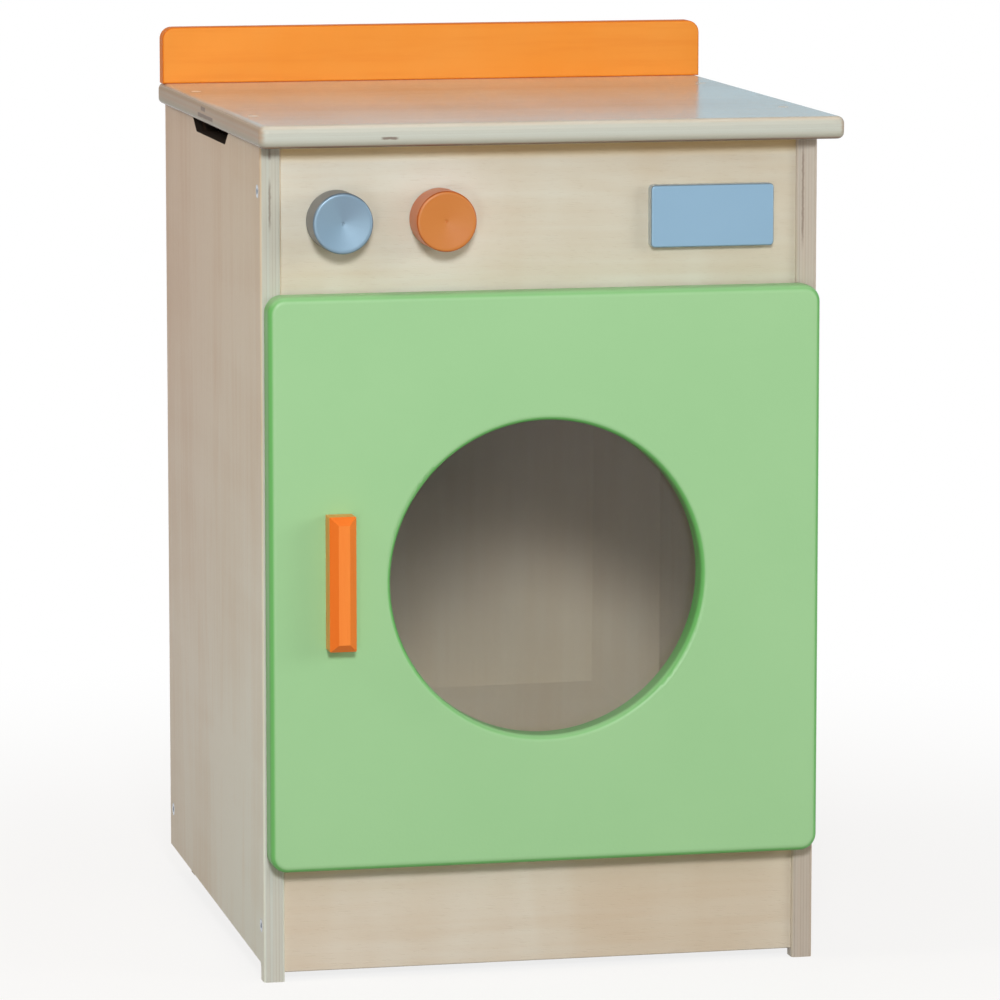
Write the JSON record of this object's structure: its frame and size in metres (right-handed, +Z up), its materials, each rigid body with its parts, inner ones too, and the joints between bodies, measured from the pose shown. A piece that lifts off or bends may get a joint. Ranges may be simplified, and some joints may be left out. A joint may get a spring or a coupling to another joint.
{
  "type": "toy washing machine",
  "caption": "Plywood play washing machine with a hinged front door, a round window, turning knobs, a worktop and a low splashback.",
  "frame": {"origin": "middle of the room that it takes up, on the floor", "axes": "+X to the right as the user faces the door, +Y to the back, +Z up"},
  "size_m": [0.418, 0.4396, 0.649],
  "materials": {
    "birch_ply": "clear satin lacquer on birch plywood",
    "thin_birch_ply": "clear satin lacquer on thin birch plywood",
    "worktop_ply": "clear gloss lacquer on birch plywood",
    "orange_board": "orange translucent stain, satin",
    "green_lacquer": "smooth satin green lacquer",
    "orange_lacquer": "smooth satin orange lacquer",
    "silver_lacquer": "satin silver-grey lacquer",
    "clear_acrylic": "clear polished sheet",
    "beech": "plain turned beech",
    "zinc_screw": "bright zinc",
    "hinge_steel": "nickel-plated steel",
    "white_nylon": "moulded nylon",
    "magnet": "bare ferrite and steel"
  },
  "bodies": {
    "cabinet": {"left_side_panel": "birch_ply", "right_side_panel": "birch_ply", "control_panel": "birch_ply", "divider_shelf": "birch_ply", "bottom_shelf": "birch_ply", "plinth": "birch_ply", "rear_rail": "birch_ply", "back_panel": "thin_birch_ply", "worktop": "worktop_ply", "backsplash": "orange_board", "display_block": "silver_lacquer", "side_screws": "zinc_screw", "worktop_screws": "zinc_screw", "worktop_screw_caps": "beech", "frame_dowels": "beech", "backsplash_dowels": "beech", "back_panel_screws": "zinc_screw", "display_screws": "zinc_screw", "knob_spacers": "white_nylon", "catch_housing": "white_nylon", "catch_magnet": "magnet", "catch_screws": "zinc_screw", "hinge_frame_screws": "zinc_screw", "upper_hinge_frame_leaf": "hinge_steel", "lower_hinge_frame_leaf": "hinge_steel", "upper_hinge_pin": "hinge_steel", "lower_hinge_pin": "hinge_steel"},
    "door": {"door_panel": "green_lacquer", "window_pane": "clear_acrylic", "pane_screws": "zinc_screw", "door_handle": "orange_lacquer", "handle_screws": "zinc_screw", "hinge_door_screws": "zinc_screw", "upper_hinge_door_leaf": "hinge_steel", "lower_hinge_door_leaf": "hinge_steel", "striker_plate": "hinge_steel", "striker_screw": "zinc_screw"},
    "silver_knob_set": {"silver_knob": "silver_lacquer", "silver_knob_spindle": "zinc_screw", "silver_knob_washer": "white_nylon", "silver_knob_nut": "zinc_screw"},
    "orange_knob_set": {"orange_knob": "orange_lacquer", "orange_knob_spindle": "zinc_screw", "orange_knob_washer": "white_nylon", "orange_knob_nut": "zinc_screw"}
  },
  "joints": [
    {"name": "door_hinge", "type": "hinge", "parent": "cabinet", "child": "door", "pos_m": [0.19595, -0.1816, 0.28475], "axis": [0, 0, 1], "range_deg": [0, 180]},
    {"name": "silver_knob_turn", "type": "hinge", "parent": "cabinet", "child": "silver_knob_set", "pos_m": [-0.15, -0.17625, 0.5385], "axis": [0, -1, 0], "continuous": true},
    {"name": "orange_knob_turn", "type": "hinge", "parent": "cabinet", "child": "orange_knob_set", "pos_m": [-0.0767, -0.17625, 0.5385], "axis": [0, -1, 0], "continuous": true}
  ]
}
